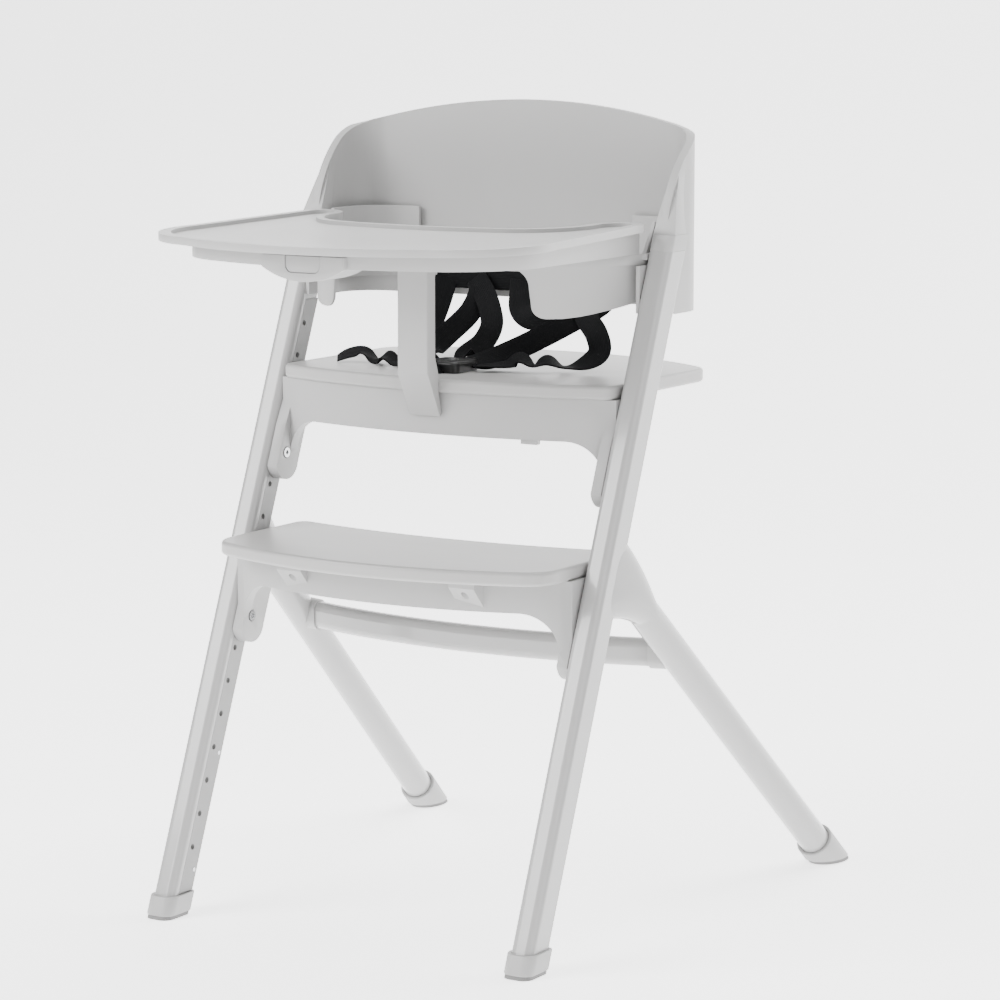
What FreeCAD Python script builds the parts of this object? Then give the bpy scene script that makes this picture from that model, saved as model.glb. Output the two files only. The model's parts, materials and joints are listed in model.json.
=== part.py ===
"""Baby high chair: an A-shaped metal frame with a seat and a footrest that are
screwed on at a choice of heights, a wrap-around back, a front guard with a
crotch post, a pull-off tray and a harness.

Millimetres, +Z up.  The child looks along -Y, the chair is symmetric about
X = 0, and the origin is on the floor under the middle of the chair.
"""
import FreeCAD, Part
import math
import os
import Sketcher
from FreeCAD import Placement, Rotation, Vector

DRIVING = {
    # front legs: leaning extrusions, sized across (X) and along (Y) a level cut
    "leg_spread": 450,
    "leg_lean": 21.9,
    "leg_floor_y": -268,
    "leg_wide": 27,
    "leg_deep": 36.6,
    "leg_round": 8.5,
    "leg_rear_round": 3.5,
    "leg_wall": 2,
    "cap_seam": 716,
    "cap_top": 733,
    "cap_wall": 3,
    # the rail strip let into each leg's inner face
    "strip_wide": 24.4,
    "strip_thick": 2,
    "hole_forward": 5,
    "strip_end": 646,
    "strip_gap": 0.4,
    "hole_first": 71.5,
    "hole_pitch": 34.3,
    "hole_radius": 3.2,
    "rivet_radius": 2.2,
    "rivet_proud": 0.3,
    # feet
    "sole_thick": 4,
    "foot_tall": 24,
    "foot_wrap": 4,
    # rear legs: round tubes that splay outwards
    "tube_radius": 17.25,
    "tube_wall": 2,
    "rear_top_x": 235,
    "rear_top_y": -45,
    "rear_top_z": 343,
    "rear_foot_x": 271,
    "rear_foot_y": 330,
    "plug_length": 26,
    "joint_long": 104,
    "joint_wide": 25,
    # crossbar between the rear legs
    "bar_z": 287,
    "bar_y": 20,
    "bar_reach": 233,
    "bar_bow": 40,
    "bar_tall": 31,
    "bar_deep": 20,
    "bar_wall": 2,
    "collar_wrap": 2,
    "collar_long": 9,
    # seat board and footrest board
    "board_half": 208,
    "board_thick": 15,
    "board_soft": 4,
    "seat_top": 580,
    "seat_front_y": -66,
    "seat_front_bow": 36,
    "seat_side_end": 142,
    "seat_rear_bow": 69,
    "foot_top": 402,
    "foot_front_y": -196,
    "foot_front_bow": 48,
    "foot_rear_y": -29,
    "foot_rear_bow": 26,
    # moulded brackets: a rail under the board and an arm beside each leg
    "arm_thick": 12.5,
    "arm_wide": 38,
    "arm_gap": 0.6,
    "arm_back": 7.5,
    "rail_tall": 45,
    "rail_thick": 14,
    "rail_inset": 5,
    "foot_rail_inset": 46,
    "foot_rail_tall": 35,
    "rail_fillet": 40,
    "gusset_wide": 31,
    "gusset_x": 108,
    "gusset_deep": 16,
    "seat_arm_low": 470,
    "foot_arm_low": 299,
    "head_radius": 5.5,
    "head_tall": 4,
    # back shell
    "back_half": 226,
    "back_front_y": 20,
    "back_corner_y": 65.5,
    "back_round": 50,
    "back_sweep": 85,
    "back_thick": 9,
    "back_low": 648,
    "back_top": 866,
    "back_crown": 35,
    # front guard
    "guard_wall": 4,
    "guard_half": 206,
    "guard_rear_y": 106,
    "guard_front_y": -119,
    "guard_bar": 6,
    "guard_end_x": 137,
    "guard_low": 648,
    "guard_high": 745,
    "guard_shelf": 713,
    "guard_rise": 702,
    "post_wide": 38,
    "post_thick": 15,
    "post_bend": 588,
    "post_tip": 541,
    # tray
    "tray_half": 225,
    "tray_front": -359,
    "tray_tilt": 1.3,
    "tray_front_top": 737,
    "tray_edge": 8,
    "tray_sheet": 4,
    "tray_lip": 12,
    "skirt_inset": 21,
    "skirt_wall": 3,
    "skirt_low": 713.3,
    "button_half": 21,
    "button_tall": 17,
    "button_deep": 6,
    # harness
    "web_wide": 25,
    "web_thick": 1.6,
    "shift_gap": 0.3,
}

doc = FreeCAD.newDocument("high_chair")
sheet = doc.addObject("Spreadsheet::Sheet", "sizes")
for line, (name, amount) in enumerate(DRIVING.items(), 1):
    sheet.set(f"A{line}", name)
    sheet.set(f"B{line}", str(amount))
    sheet.setAlias(f"B{line}", name)
doc.recompute()


class Size:
    """A number together with the sheet expression that gives it."""

    def __init__(self, value, text):
        self.value = value
        self.text = text

    def __add__(self, other):
        return Size(self.value + number(other), f"({self.text} + {formula(other)})")

    def __sub__(self, other):
        return Size(self.value - number(other), f"({self.text} - {formula(other)})")

    def __mul__(self, other):
        return Size(self.value * number(other), f"({self.text} * {formula(other)})")

    def __truediv__(self, other):
        return Size(self.value / number(other), f"({self.text} / {formula(other)})")

    def __radd__(self, other):
        return Size(other, f"{other}") + self

    def __rsub__(self, other):
        return Size(other, f"{other}") - self

    def __rmul__(self, other):
        return Size(other, f"{other}") * self

    def __neg__(self):
        return Size(-self.value, f"(0 - {self.text})")


class Sizes:
    """The sheet's cells as attributes."""

    def __getattr__(self, name):
        return Size(float(DRIVING[name]), f"sizes.{name}")


def number(item):
    return item.value if isinstance(item, Size) else item


def formula(item):
    return item.text if isinstance(item, Size) else f"({item})"


def sine(angle):
    return Size(math.sin(math.radians(angle.value)), f"sin({angle.text})")


def cosine(angle):
    return Size(math.cos(math.radians(angle.value)), f"cos({angle.text})")


def tangent(angle):
    return Size(math.tan(math.radians(angle.value)), f"tan({angle.text})")


def bind(item, prop, amount):
    """Tie a property to the sheet, or set it where the amount is a plain number."""
    if isinstance(amount, Size):
        item.setExpression(prop, amount.text)
    else:
        item.setExpression(prop, f"{amount}")


size = Sizes()
quarter = 1 - math.sqrt(0.5)
halves = {"right": 1, "left": -1}


# ---------------------------------------------------------------- helpers
def new_body(label):
    body = doc.addObject("PartDesign::Body", label)
    body.Label = label
    return body


def new_sketch(body, plane, lift=0.0):
    sketch = body.newObject("Sketcher::SketchObject", f"{body.Name}_sketch")
    support = next(item for item in body.Origin.OriginFeatures if item.Role == plane)
    sketch.AttachmentSupport = (support, [""])
    sketch.MapMode = "FlatFace"
    if isinstance(lift, Size) or lift:
        bind(sketch, "AttachmentOffset.Base.z", lift)
    return sketch


def fix_point(sketch, item, end, across, up):
    """Dimension one end of a line or arc from the sketch's origin."""
    for kind, amount, axis in (("DistanceX", across, -2), ("DistanceY", up, -1)):
        if not isinstance(amount, Size) and amount == 0:
            sketch.addConstraint(Sketcher.Constraint("PointOnObject", item, end, axis))
            continue
        spot = sketch.addConstraint(
            Sketcher.Constraint(kind, -1, 1, item, end, float(number(amount))))
        bind(sketch, f"Constraints[{spot}]", amount)


def outline(sketch, corners):
    """A closed outline.  A corner is (across, up), or (across, up, bulge) where the
    side that leaves it is an arc that stands out to the right by bulge."""
    points = [Vector(number(corner[0]), number(corner[1]), 0) for corner in corners]
    items = []
    for spot, corner in enumerate(corners):
        start, end = points[spot], points[(spot + 1) % len(points)]
        if len(corner) == 2:
            items.append(sketch.addGeometry(Part.LineSegment(start, end), False))
            continue
        along = (end - start).normalize()
        middle = (start + end) * 0.5 + Vector(along.y, -along.x, 0) * number(corner[2])
        items.append(sketch.addGeometry(Part.Arc(start, middle, end), False))
    first_ends = []
    for spot, item in enumerate(items):
        near = (sketch.getPoint(item, 1) - points[spot]).Length < 1e-6
        first_ends.append(1 if near else 2)
    for spot, item in enumerate(items):
        after = (spot + 1) % len(items)
        sketch.addConstraint(Sketcher.Constraint(
            "Coincident", item, 3 - first_ends[spot], items[after], first_ends[after]))
        fix_point(sketch, item, first_ends[spot], *corners[spot][:2])
    for spot, corner in enumerate(corners):
        if len(corner) < 3:
            continue
        after = corners[(spot + 1) % len(corners)]
        across, up, bulge = after[0] - corner[0], after[1] - corner[1], corner[2]
        if number(bulge) < 0:
            bulge = -bulge
        radius = ((across * across + up * up) / 4 + bulge * bulge) / (2 * bulge)
        tie = sketch.addConstraint(
            Sketcher.Constraint("Radius", items[spot], float(number(radius))))
        bind(sketch, f"Constraints[{tie}]", radius)


def rounded(sketch, low, high, radius, far=None):
    """A rectangle from low to high with its corners rounded, the far side's by far."""
    far = radius if far is None else far
    near_bulge, far_bulge = radius * quarter, far * quarter
    (left, bottom), (right, top) = low, high
    outline(sketch, [
        (left + radius, bottom), (right - radius, bottom, near_bulge),
        (right, bottom + radius), (right, top - far, far_bulge),
        (right - far, top), (left + far, top, far_bulge),
        (left, top - far), (left, bottom + radius, near_bulge)])


def circle(sketch, across, up, radius):
    item = sketch.addGeometry(
        Part.Circle(Vector(number(across), number(up), 0), Vector(0, 0, 1), number(radius)), False)
    fix_point(sketch, item, 3, across, up)
    tie = sketch.addConstraint(Sketcher.Constraint("Radius", item, float(number(radius))))
    bind(sketch, f"Constraints[{tie}]", radius)


def pad(body, sketch, length, both=False, lean=None, back=False):
    feature = body.newObject("PartDesign::Pad", f"{body.Name}_pad")
    feature.Profile = sketch
    bind(feature, "Length", length)
    feature.Midplane = both
    feature.Reversed = back
    if lean is not None:
        feature.UseCustomVector = True
        feature.AlongSketchNormal = True
        feature.Direction = Vector(0, number(sine(lean)), number(cosine(lean)))
        bind(feature, "Direction.y", sine(lean))
        bind(feature, "Direction.z", cosine(lean))
    sketch.Visibility = False
    return feature


def pocket(body, sketch, length=None, both=False, back=False):
    """Cut with a sketch: all through when no length is given."""
    doc.recompute()
    before = body.Shape.Volume
    feature = body.newObject("PartDesign::Pocket", f"{body.Name}_pocket")
    feature.Profile = sketch
    feature.Midplane = both
    feature.Reversed = back
    if length is None:
        feature.Type = "ThroughAll"
    else:
        bind(feature, "Length", length)
    doc.recompute()
    if not body.Shape.Volume < before:
        raise ValueError(f"a pocket in {body.Label} cuts nothing")
    return feature


def edge_names(shape, test):
    return [f"Edge{spot}" for spot, edge in enumerate(shape.Edges, 1) if test(edge)]


def fillet(body, radius, test):
    doc.recompute()
    base = body.Tip
    feature = body.newObject("PartDesign::Fillet", f"{body.Name}_fillet")
    feature.Base = (base, edge_names(base.Shape, test))
    bind(feature, "Radius", radius)
    return feature


def middle(edge):
    return edge.valueAt((edge.FirstParameter + edge.LastParameter) / 2)


def upright(edge):
    """An edge that runs straight up."""
    low, high = edge.Vertexes[0].Point, edge.Vertexes[-1].Point
    return abs(low.x - high.x) < 1e-4 and abs(low.y - high.y) < 1e-4 and abs(low.z - high.z) > 1


def level(height):
    """Edges that lie in the plane at a height."""
    def test(edge):
        box = edge.BoundBox
        return abs(box.ZMin - number(height)) < 1e-3 and abs(box.ZMax - number(height)) < 1e-3
    return test


def mirrored(source, label):
    twin = doc.addObject("Part::Mirroring", label)
    twin.Label = label
    twin.Source = source
    twin.Normal = Vector(1, 0, 0)
    return twin


def cut(base, tool, label):
    piece = doc.addObject("Part::Cut", label)
    piece.Label = label
    piece.Base = base
    piece.Tool = tool
    return piece


def group(label, members):
    piece = doc.addObject("Part::Compound", label)
    piece.Label = label
    piece.Links = members
    return piece


def made(label, shape):
    piece = doc.addObject("Part::Feature", label)
    piece.Label = label
    piece.Shape = shape
    return piece


nodes = []


def keep(*pieces):
    nodes.extend(pieces)


def pair(source, stem):
    """Keep a right-hand piece and its mirror image as two nodes."""
    source.Label = f"{stem}_right"
    keep(source, mirrored(source, f"{stem}_left"))


leg_slope = tangent(size.leg_lean)
half_spread = size.leg_spread / 2
half_deep = size.leg_deep / 2
leg_inner = half_spread - size.leg_wide / 2


def leg_y(height):
    """The leg's middle, front to back, at a height."""
    return size.leg_floor_y + leg_slope * height


# ---------------------------------------------------------------- front legs
def prism(label, low, high, draw, lean=None):
    """A prism between two heights, from the section that draw makes."""
    body = new_body(label)
    sketch = new_sketch(body, "XY_Plane", low)
    draw(sketch, leg_y(low) if lean else 0)
    pad(body, sketch, high - low, lean=lean)
    return body


def leg_section(grow, inner=0.0):
    """The leg's outline, grown or shrunk all round, its inner side moved in by inner."""
    def draw(sketch, y):
        rounded(sketch,
                (leg_inner - grow + inner, y - half_deep - grow),
                (leg_inner + size.leg_wide + grow, y + half_deep + grow),
                size.leg_round + grow, size.leg_rear_round + grow)
    return draw


def strip_section(gap, spill):
    """The rail strip's section, flush with the leg's rear edge."""
    def draw(sketch, y):
        front = y + half_deep - size.strip_wide - gap
        outline(sketch, [
            (leg_inner - spill, front), (leg_inner + size.strip_thick, front),
            (leg_inner + size.strip_thick, y + half_deep + spill),
            (leg_inner - spill, y + half_deep + spill)])
    return draw


leg_start = size.sole_thick + 3
leaning = size.leg_lean
leg_envelope = prism("leg_envelope", 0 * leg_start, size.cap_top, leg_section(0.05), leaning)
leg_outer = prism("leg_outer", leg_start, size.cap_seam, leg_section(0.0), leaning)
leg_core = prism("leg_core", leg_start - 1, size.cap_seam + 1,
                 leg_section(-size.leg_wall, size.strip_thick), leaning)
strip_bed = prism("strip_bed", leg_start - 1, size.cap_seam + 1,
                  strip_section(size.strip_gap, 1), leaning)
strip_blank = prism("strip_blank", size.foot_tall + 1, size.strip_end,
                    strip_section(0.0, 0.0), leaning)

hole_count = 17
hole_tools = new_body("rail_holes")
holes = new_sketch(hole_tools, "YZ_Plane", leg_inner - 1)
strip_middle = half_deep - size.strip_wide / 2 - size.hole_forward
for step in range(hole_count):
    height = size.hole_first + step * size.hole_pitch
    circle(holes, leg_y(height) + strip_middle, height, size.hole_radius)
pad(hole_tools, holes, size.strip_thick + size.leg_wall + 2)

leg_bored = cut(cut(cut(leg_outer, leg_core, "leg_tube"), strip_bed, "leg_bedded"), hole_tools, "leg")
pair(leg_bored, "front_leg")
pair(cut(strip_blank, hole_tools, "strip"), "rail_strip")

rivets = new_body("rivets")
rivet_sketch = new_sketch(rivets, "YZ_Plane", leg_inner - size.rivet_proud)
for height in (46, 166, 385, 560):
    rear = leg_y(Size(height, f"{height}")) + half_deep - 5
    circle(rivet_sketch, rear, height, size.rivet_radius)
pad(rivets, rivet_sketch, size.rivet_proud)
keep(group("rail_rivets", [rivets, mirrored(rivets, "rivets_left")]))

cap_body = prism("leg_cap", size.cap_seam, size.cap_top, leg_section(0.0), leaning)
cap_core = prism("cap_core", size.cap_seam - 1, size.cap_top - size.cap_wall,
                 leg_section(-size.cap_wall), leaning)
pair(cut(cap_body, cap_core, "cap"), "leg_cap")


# ---------------------------------------------------------------- rear legs
def rear_aim(body, side=1):
    """Stand a body's own Z along the rear tube, with its origin on the floor point."""
    run_x = size.rear_foot_x - size.rear_top_x
    run_y = size.rear_foot_y - size.rear_top_y
    level_run = math.hypot(number(run_x), number(run_y))
    roll = math.degrees(math.atan2(level_run, number(size.rear_top_z)))
    yaw = -math.degrees(math.atan2(number(run_x), number(run_y)))
    body.Placement = Placement(Vector(0, 0, 0), Rotation(yaw, 0, roll))
    bind(body, "Placement.Base.x", size.rear_foot_x)
    bind(body, "Placement.Base.y", size.rear_foot_y)


rear_length = math.sqrt((DRIVING["rear_foot_x"] - DRIVING["rear_top_x"]) ** 2
                        + (DRIVING["rear_foot_y"] - DRIVING["rear_top_y"]) ** 2
                        + DRIVING["rear_top_z"] ** 2)


def rear_round(label, start, end, radius, bore=None):
    body = new_body(label)
    sketch = new_sketch(body, "XY_Plane", start)
    circle(sketch, 0, 0, radius)
    if bore is not None:
        circle(sketch, 0, 0, bore)
    pad(body, sketch, end - start)
    rear_aim(body)
    return body


tube_bore = size.tube_radius - size.tube_wall
rear_envelope = rear_round("rear_envelope", -40.0, rear_length, size.tube_radius + 0.05)
rear_start = 27.0
pair(rear_round("rear_tube", rear_start, rear_length, size.tube_radius, tube_bore), "rear_leg")


# ---------------------------------------------------------------- feet
def floor_block(label, low, high, centre_x, centre_y, reach):
    block = doc.addObject("Part::Box", label)
    for prop, amount in (("Length", 2 * reach), ("Width", 2 * reach), ("Height", high - low),
                         ("Placement.Base.x", centre_x - reach),
                         ("Placement.Base.y", centre_y - reach), ("Placement.Base.z", low)):
        bind(block, prop, amount)
    return block


def common(base, tool, label):
    piece = doc.addObject("Part::Common", label)
    piece.Label = label
    piece.Base = base
    piece.Tool = tool
    return piece


boot_front = prism("boot_front", size.sole_thick, size.foot_tall,
                   leg_section(size.foot_wrap), leaning)
boot_room = prism("boot_room", leg_start, size.foot_tall + 1, leg_section(0.0), leaning)
pair(cut(boot_front, boot_room, "front_boot"), "front_foot")
sole_front = prism("sole_front", 0 * leg_start, size.sole_thick,
                   leg_section(size.foot_wrap - 1.5), leaning)
pair(sole_front, "front_sole")

boot_round = rear_round("boot_rear", -40.0, 44.0, size.tube_radius + size.foot_wrap)
boot_block = floor_block("boot_block", size.sole_thick, 90.0, size.rear_foot_x, size.rear_foot_y,
                         80.0)
rear_boot_solid = common(boot_round, boot_block, "rear_boot_solid")
rear_room = rear_round("rear_room", rear_start, 60.0, size.tube_radius)
pair(cut(rear_boot_solid, rear_room, "rear_boot"), "rear_foot")
sole_round = rear_round("sole_round", -40.0, 60.0, size.tube_radius + size.foot_wrap - 1.5)
sole_block = floor_block("sole_block", 0.0, size.sole_thick, size.rear_foot_x, size.rear_foot_y,
                         80.0)
pair(common(sole_round, sole_block, "rear_sole_solid"), "rear_sole")


# ---------------------------------------------------------------- leg joints
def ring_wire(frame, half_long, half_across, power):
    """A smooth closed curve, from ellipse (power 2) towards oblong, in a frame's own XY."""
    count = 24
    points = []
    for step in range(count):
        turn = 2 * math.pi * step / count
        across, along = math.cos(turn), math.sin(turn)
        points.append(frame.multVec(Vector(
            half_across * math.copysign(abs(across) ** (2 / power), across),
            half_long * math.copysign(abs(along) ** (2 / power), along), 0)))
    curve = Part.BSplineCurve()
    curve.interpolate(points, PeriodicFlag=True)
    return Part.Wire([curve.toShape()])


def joint_shape():
    """A fairing that runs from the front leg's rear face into the round rear tube."""
    top = Vector(DRIVING["rear_top_x"], DRIVING["rear_top_y"], DRIVING["rear_top_z"])
    foot = Vector(DRIVING["rear_foot_x"], DRIVING["rear_foot_y"], 0)
    along_tube = (foot - top).normalize()
    lean = math.radians(DRIVING["leg_lean"])
    up_leg = Vector(0, math.sin(lean), math.cos(lean))
    out_leg = Vector(0, math.cos(lean), -math.sin(lean))
    mid_height = DRIVING["rear_top_z"] + 45
    start = Vector(number(half_spread) + 0.2, number(leg_y(Size(mid_height, "0"))), mid_height)
    leg_frame = Placement(start, Rotation(Vector(1, 0, 0), up_leg, out_leg, "ZXY"))
    radius = DRIVING["tube_radius"]
    across = Vector(1, 0, 0)
    side = (across - along_tube * across.dot(along_tube)).normalize()
    tube_up = side.cross(along_tube)
    if tube_up.z < 0:
        tube_up = -tube_up
    tube_frame = Placement(top, Rotation(side, tube_up, along_tube, "ZXY"))
    half_step = top - along_tube * 22
    mid_frame = Placement(half_step, tube_frame.Rotation)
    return Part.makeLoft([
        ring_wire(leg_frame, DRIVING["joint_long"] / 2, DRIVING["joint_wide"] / 2, 3.2),
        ring_wire(mid_frame, radius + 9, radius - 1.5, 2.2),
        ring_wire(tube_frame, radius, radius, 2)], True, False)


joint_blank = made("joint_blank", joint_shape())
joint_trim = cut(joint_blank, leg_envelope, "joint_trim")
plug = rear_round("joint_plug", rear_length - size.plug_length, rear_length, tube_bore - 0.05)
joint = doc.addObject("Part::Fuse", "joint")
joint.Base = joint_trim
joint.Tool = plug
pair(joint, "leg_joint")


# ---------------------------------------------------------------- crossbar
bar_radius = (size.bar_reach * size.bar_reach + size.bar_bow * size.bar_bow) / (2 * size.bar_bow)
bar_angle = math.degrees(2 * math.asin(number(size.bar_reach) / number(bar_radius)))


def oval(sketch, centre_y, centre_z, half_width, half_height):
    """Flat sides joined by nearly half-round ends."""
    bulge = half_width * 0.97
    straight = half_height - bulge
    outline(sketch, [
        (centre_y + half_width, centre_z - straight),
        (centre_y + half_width, centre_z + straight, bulge),
        (centre_y - half_width, centre_z + straight),
        (centre_y - half_width, centre_z - straight, bulge)])


def bowed(label, grow, bore, angle):
    """An oval tube bent round an upright axis behind the chair."""
    body = new_body(label)
    sketch = new_sketch(body, "YZ_Plane")
    oval(sketch, size.bar_y - size.bar_bow, size.bar_z,
         size.bar_deep / 2 + grow, size.bar_tall / 2 + grow)
    oval(sketch, size.bar_y - size.bar_bow, size.bar_z,
         size.bar_deep / 2 + bore, size.bar_tall / 2 + bore)
    axis = sketch.addGeometry(Part.LineSegment(Vector(0, 0, 0), Vector(0, 10, 0)), True)
    fix_point(sketch, axis, 1, size.bar_y - size.bar_bow + bar_radius, 0)
    fix_point(sketch, axis, 2, size.bar_y - size.bar_bow + bar_radius, 10)
    turn = body.newObject("PartDesign::Revolution", f"{label}_turn")
    turn.Profile = sketch
    turn.ReferenceAxis = (sketch, ["Axis0"])
    turn.Angle = angle
    turn.Midplane = True
    return body


bar = bowed("bar", 0.0, -size.bar_wall, bar_angle)
rear_envelope_left = mirrored(rear_envelope, "rear_envelope_left")
crossbar = cut(cut(bar, rear_envelope, "bar_right"), rear_envelope_left, "crossbar")
keep(crossbar)
collar_ring = bowed("collar_ring", size.collar_wrap, 0.05, bar_angle)
collar_gap = floor_block("collar_gap", 200.0, 400.0, 0.0, 0.0, size.bar_reach - 18)
collars = cut(cut(cut(collar_ring, collar_gap, "collar_ends"), rear_envelope, "collar_right"),
              rear_envelope_left, "crossbar_collars")
keep(collars)


# ---------------------------------------------------------------- back shell
sweep = size.back_sweep
corner_x = size.back_half - size.back_round


def shell_side(inset):
    """Corner points of the shell's plan, half of it, moved in by inset."""
    radius = size.back_round - inset
    end_x = corner_x + radius * cosine(sweep)
    end_y = size.back_corner_y + radius * sine(sweep)
    corner_bulge = radius * (1 - math.cos(math.radians(DRIVING["back_sweep"] / 2)))
    back_radius = (corner_x + size.back_round * cosine(sweep)) / cosine(sweep) - inset
    return size.back_half - inset, end_x, end_y, corner_bulge, back_radius * (1 - sine(sweep))


def shell_band(sketch, front_y, outer, inner):
    """The shell's plan between two insets, open to the front."""
    side_x, end_x, end_y, corner, bow = shell_side(outer)
    in_x, in_end_x, in_end_y, in_corner, in_bow = shell_side(inner)
    corner_y = size.back_corner_y
    outline(sketch, [
        (side_x, front_y), (side_x, corner_y, corner),
        (end_x, end_y, bow), (-end_x, end_y, corner),
        (-side_x, corner_y), (-side_x, front_y),
        (-in_x, front_y), (-in_x, corner_y, -in_corner),
        (-in_end_x, in_end_y, -in_bow), (in_end_x, in_end_y, -in_corner),
        (in_x, corner_y), (in_x, front_y)])


back = new_body("back")
plan = new_sketch(back, "XY_Plane", size.back_low)
shell_band(plan, size.back_front_y, 0.0, size.back_thick)
pad(back, plan, size.back_top - size.back_low + 5)

# the crown of the top edge, seen from the front
crown = new_sketch(back, "XZ_Plane")
crown_x = size.back_half + 5
shoulder_z = size.back_top - size.back_crown
outline(crown, [
    (crown_x, shoulder_z), (crown_x, size.back_top + 20),
    (-crown_x, size.back_top + 20), (-crown_x, shoulder_z, -size.back_crown)])
pocket(back, crown, both=True)

# the sweep of the side edge down to the leg cap, seen from the side
edge_low = size.cap_top + 12
edge_rear = size.back_corner_y + (size.back_round - size.back_thick) * 0.85
flank = new_sketch(back, "YZ_Plane")
outline(flank, [
    (size.back_front_y - 20, edge_low), (size.back_front_y, edge_low, -16.0),
    (edge_rear, shoulder_z + 8), (edge_rear, size.back_top + 20),
    (size.back_front_y - 20, size.back_top + 20)])
pocket(back, flank, both=True)

# rounded lower front corners
heel = new_sketch(back, "YZ_Plane")
outline(heel, [
    (size.back_front_y - 1, size.back_low - 1), (size.back_front_y + 26, size.back_low - 1, -26 * quarter),
    (size.back_front_y - 1, size.back_low + 26)])
pocket(back, heel, both=True)


def back_bracket_section(sketch, y):
    """A cheek inside the leg, stepped out behind it to the shell."""
    inside = size.guard_half + 1.2
    outline(sketch, [
        (inside, size.back_front_y - 34), (leg_inner, size.back_front_y - 34),
        (leg_inner, size.back_front_y + 2), (size.back_half - size.back_thick + 1, size.back_front_y + 2),
        (size.back_half - size.back_thick + 1, size.back_front_y + 26), (inside, size.back_front_y + 26)])


cheek = prism("cheek", size.back_low + 4, size.guard_rise - 0.5, back_bracket_section)


def horn_shape():
    """The flared root of the rim where it stands on the leg cap."""
    outer = number(half_spread) + DRIVING["leg_wide"] / 2
    inner = number(leg_inner)
    rim = DRIVING["back_half"]
    wall = DRIVING["back_thick"]
    top = DRIVING["cap_top"]
    front = DRIVING["back_front_y"]
    sections = []
    for rise, low_x, high_x, low_y, high_y in (
            (0, inner + 0.5, outer - 0.5, front - 6, front + 19),
            (22, inner + 1.5, outer - 5, front + 4, front + 22),
            (60, rim - wall, rim + 0.2, front + 23, front + 36)):
        height = top + rise
        corners = [Vector(low_x, low_y, height), Vector(high_x, low_y, height),
                   Vector(high_x, high_y, height), Vector(low_x, high_y, height)]
        sections.append(Part.makePolygon(corners + corners[:1]))
    return Part.makeLoft(sections, True, False)


leg_envelope_left = mirrored(leg_envelope, "leg_envelope_left")
horn = made("horn", horn_shape())
shell = doc.addObject("Part::MultiFuse", "shell")
shell.Shapes = [
    cut(cut(back, leg_envelope, "back_right"), leg_envelope_left, "back_trim"),
    cut(cheek, leg_envelope, "cheek_trim"), horn]
doc.recompute()
cheek_left = mirrored(doc.getObject("cheek_trim"), "cheek_left")
horn_left = mirrored(horn, "horn_left")
shell.Shapes = shell.Shapes + [cheek_left, horn_left]
shell.Label = "back_shell"
keep(shell)


# ---------------------------------------------------------------- front guard
def guard_path(grow):
    """Half of the guard's plan from its front corner to its rear end, moved out by grow."""
    half = size.guard_half + grow
    turn = 46 + grow
    return [
        (138 + grow * 0.75, -81 - grow * 0.66, 12 + grow * 0.1),
        (half, 26.0), (half, size.guard_rear_y - 46, turn * quarter),
        (half - turn, size.guard_rear_y + grow), (size.guard_end_x, size.guard_rear_y + grow)]


def guard_band(sketch, outer, inner):
    """The guard's plan between two offsets."""
    out, back_in = guard_path(outer), guard_path(inner)
    bow_out = -81 - outer * 0.66 - (size.guard_front_y - outer)
    bow_in = -81 - inner * 0.66 - (size.guard_front_y - inner)

    def other(points):
        return [(-point[0], *point[1:]) for point in points]

    def reverse(points, sign):
        """The same points walked the other way, so each arc keeps its own two ends."""
        walk = []
        for spot in range(len(points) - 1, -1, -1):
            point = points[spot]
            bulge = points[spot - 1][2] if spot and len(points[spot - 1]) > 2 else None
            walk.append((point[0], point[1]) if bulge is None else (point[0], point[1], sign * bulge))
        return walk

    right_out = out
    right_in = reverse(back_in, -1)
    left_in = [(-x[0], x[1], -x[2]) if len(x) > 2 else (-x[0], x[1]) for x in back_in]
    left_out = reverse(other(out), 1)
    right_in[-1] = (right_in[-1][0], right_in[-1][1], -bow_in)
    left_out[-1] = (left_out[-1][0], left_out[-1][1], bow_out)
    outline(sketch, right_out + right_in + left_in + left_out)


guard_wall = new_body("guard_wall")
wall_plan = new_sketch(guard_wall, "XY_Plane", size.guard_low)
guard_band(wall_plan, 0.0, -size.guard_wall)
pad(guard_wall, wall_plan, size.guard_high - size.guard_low)

# the guard's lower edge, seen from the front: high over the lap, low at the hips
lap = new_sketch(guard_wall, "XZ_Plane")
lobe = 14 * quarter
shoulder = 22 * quarter
outline(lap, [
    (-138, size.guard_low - 2), (138, size.guard_low - 2), (138, size.guard_low, -lobe),
    (124, size.guard_low + 14), (122, size.guard_rise - 22, shoulder), (100, size.guard_rise),
    (-100, size.guard_rise, shoulder), (-122, size.guard_rise - 22),
    (-124, size.guard_low + 14, -lobe), (-138, size.guard_low)])
pocket(guard_wall, lap, 200.0, back=True)

# the side walls' lower edge rises towards the legs
rise = new_sketch(guard_wall, "YZ_Plane")
outline(rise, [
    (-84.0, size.guard_low - 2), (size.guard_rear_y + 20, size.guard_low - 2),
    (size.guard_rear_y + 20, size.guard_low + 18), (20.0, size.guard_low + 18),
    (-56.0, size.guard_low + 2)])
pocket(guard_wall, rise, both=True)

# the top drops under the tray ahead of the legs
top_step = new_sketch(guard_wall, "YZ_Plane")
outline(top_step, [
    (size.guard_front_y - 10, size.guard_shelf), (14.0, size.guard_shelf),
    (30.0, size.guard_high + 2), (size.guard_front_y - 10, size.guard_high + 2)])
pocket(guard_wall, top_step, both=True)

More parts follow.
